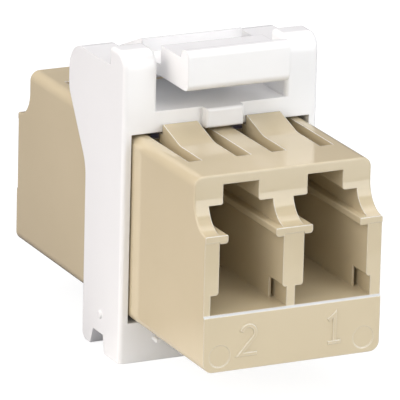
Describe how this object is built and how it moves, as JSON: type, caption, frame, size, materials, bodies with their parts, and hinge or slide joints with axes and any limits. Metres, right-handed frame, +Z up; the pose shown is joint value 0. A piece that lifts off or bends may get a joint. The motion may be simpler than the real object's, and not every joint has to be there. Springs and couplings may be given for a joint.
{
  "type": "duplex fibre adapter",
  "caption": "Duplex fibre-optic adapter in a snap-in panel carrier, with mirrored plug ports front and rear, alignment sleeves and a press-down release latch.",
  "frame": {"origin": "centre of the panel cut-out, on the plane of the panel's front face", "axes": "+Y runs from the front ports to the rear ports, +Z is up towards the release latch, +X is to the right as seen from the front"},
  "size_m": [0.0148, 0.0306, 0.0225],
  "materials": {
    "carrier_white": "satin moulded plastic",
    "adapter_beige": "satin moulded plastic",
    "sleeve_bronze": "fine drawn phosphor bronze"
  },
  "bodies": {
    "carrier": {"carrier_frame": "carrier_white", "front_housing": "adapter_beige", "rear_housing": "adapter_beige", "alignment_sleeve_left": "sleeve_bronze", "alignment_sleeve_right": "sleeve_bronze"},
    "latch": {"release_latch": "carrier_white"}
  },
  "joints": [
    {"name": "latch_press", "type": "hinge", "parent": "carrier", "child": "latch", "pos_m": [0, 0.00542, 0.0079], "axis": [1, 0, 0], "range_deg": [0, 11], "stiffness_Nm_per_rad": 0.05}
  ]
}
